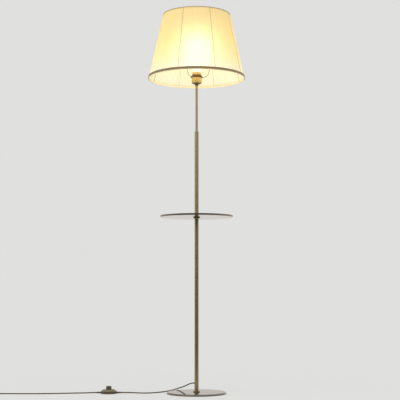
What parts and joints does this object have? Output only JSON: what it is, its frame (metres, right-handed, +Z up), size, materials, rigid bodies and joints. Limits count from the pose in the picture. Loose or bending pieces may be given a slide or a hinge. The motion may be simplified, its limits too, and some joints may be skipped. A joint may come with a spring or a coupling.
{
  "type": "floor lamp",
  "caption": "Slim floor lamp with a round tray table on its column, a round flat base, a pleated cone shade on a wire frame and a foot switch on its cord.",
  "frame": {"origin": "centre of the round base's underside, on the floor", "axes": "+Z up along the column, -Y towards the front, +X to the right, with the cord leaving to the left (-X)"},
  "size_m": [1.0968, 0.4, 1.5568],
  "materials": {
    "polished_bronze": "bronze-tinted mirror polish",
    "satin_bronze": "satin antique bronze, lacquered",
    "antique_brass": "antique brass, lacquered",
    "bare_brass": "bare pressed brass",
    "zinc_steel": "zinc-plated",
    "iron": "cast, black varnish",
    "pad": "matte foam pad",
    "porcelain": "unglazed insulating ceramic",
    "bulb_metal": "bright nickel-plated",
    "bulb_glass": "frosted, lit",
    "white_wire": "white dip coating",
    "pleated_cloth": "cream cloth in fine pleats, lit from inside",
    "braid": "gold-brown woven braid",
    "piping": "dark olive piping",
    "cord_bronze": "bronze-brown sheath, semi-matte",
    "switch_dark": "dark brown moulded plastic",
    "switch_bronze": "bronze-coloured moulded plastic",
    "tie_black": "thin plastic-coated band"
  },
  "bodies": {
    "lamp": {"base_pad": "pad", "base_cover": "polished_bronze", "base_weight": "iron", "base_washer": "zinc_steel", "base_nut": "zinc_steel", "base_nipple": "zinc_steel", "base_collar": "satin_bronze", "column_tube_lower": "satin_bronze", "column_tube_middle": "satin_bronze", "column_tube_upper": "satin_bronze", "column_inserts": "zinc_steel", "column_joiner": "zinc_steel", "tray_joiner": "zinc_steel", "tray_collar": "satin_bronze", "table_tray": "polished_bronze", "tray_washer": "satin_bronze", "column_cap": "satin_bronze", "stem_tube": "satin_bronze", "holder_cup": "antique_brass", "holder_core": "porcelain", "holder_screw_shell": "bare_brass", "holder_contacts": "bare_brass", "holder_sleeve": "antique_brass", "bulb_contact": "bulb_metal", "bulb_cap": "bulb_metal", "bulb_globe": "bulb_glass", "carrier_ring": "antique_brass", "carrier_arms": "white_wire", "shade_clamp_ring": "antique_brass", "shade_top_ring": "white_wire", "shade_bottom_ring": "white_wire", "shade_ribs": "white_wire", "shade_fabric": "pleated_cloth", "shade_bottom_braid": "braid", "shade_top_piping": "piping", "cord_bushing": "cord_bronze", "inner_lead": "cord_bronze", "cord_to_switch": "cord_bronze", "switch_base": "switch_dark", "switch_cover": "switch_bronze", "switch_spring": "zinc_steel", "switch_block": "porcelain", "switch_contacts": "bare_brass", "switch_screws": "zinc_steel", "switch_reliefs": "cord_bronze", "cord_to_coil": "cord_bronze", "cord_coil": "cord_bronze", "cord_tie": "tie_black", "cord_tail": "cord_bronze", "plug_body": "cord_bronze", "plug_pins": "bulb_metal"},
    "foot_button": {"switch_button": "switch_dark"}
  },
  "joints": [
    {"name": "button_press", "type": "slide", "parent": "lamp", "child": "foot_button", "axis": [0, 0, -1], "range_m": [0, 0.004], "stiffness_N_per_m": 900, "springref_m": -0.003, "deforming": ["switch_spring"]}
  ]
}
